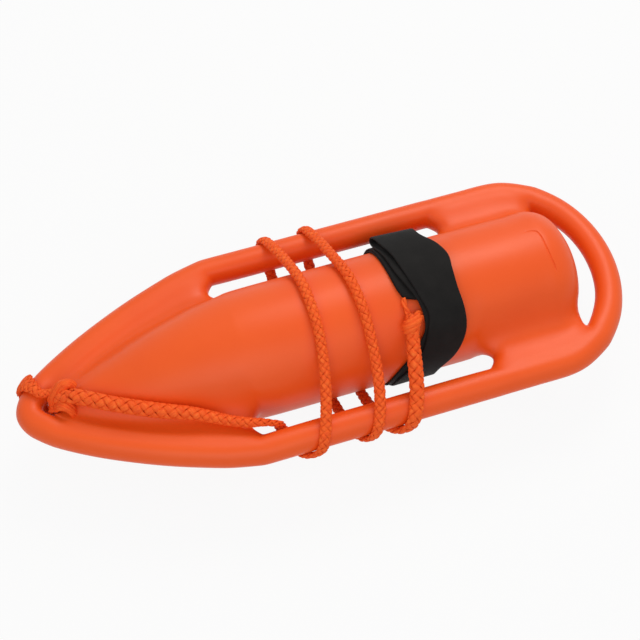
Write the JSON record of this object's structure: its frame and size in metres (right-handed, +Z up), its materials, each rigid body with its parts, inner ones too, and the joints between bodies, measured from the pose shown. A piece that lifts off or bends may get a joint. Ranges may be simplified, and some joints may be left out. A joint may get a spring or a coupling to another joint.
{
  "type": "rescue buoy",
  "caption": "Hard moulded torpedo rescue buoy with side rails and a rear hand loop, a braided tow rope spliced at the nose and wound round it, and a webbing shoulder sling on the hull.",
  "frame": {"origin": "centre of the bounding box in plan, on the surface that the buoy lies on", "axes": "+X from the pointed nose to the hand loop, +Y across to the far rail, +Z up"},
  "size_m": [0.7056, 0.2883, 0.172],
  "materials": {
    "moulded_orange": "moulded, satin",
    "rope_orange": "braided cord",
    "webbing_black": "woven webbing",
    "plug_black": "moulded",
    "foam_cream": "closed-cell foam"
  },
  "bodies": {
    "root": {"can_shell": "moulded_orange", "foam_core": "foam_cream", "filler_plug": "plug_black", "tow_rope": "rope_orange", "rope_eye": "rope_orange", "rope_knot": "rope_orange", "shoulder_sling": "webbing_black"}
  },
  "joints": []
}
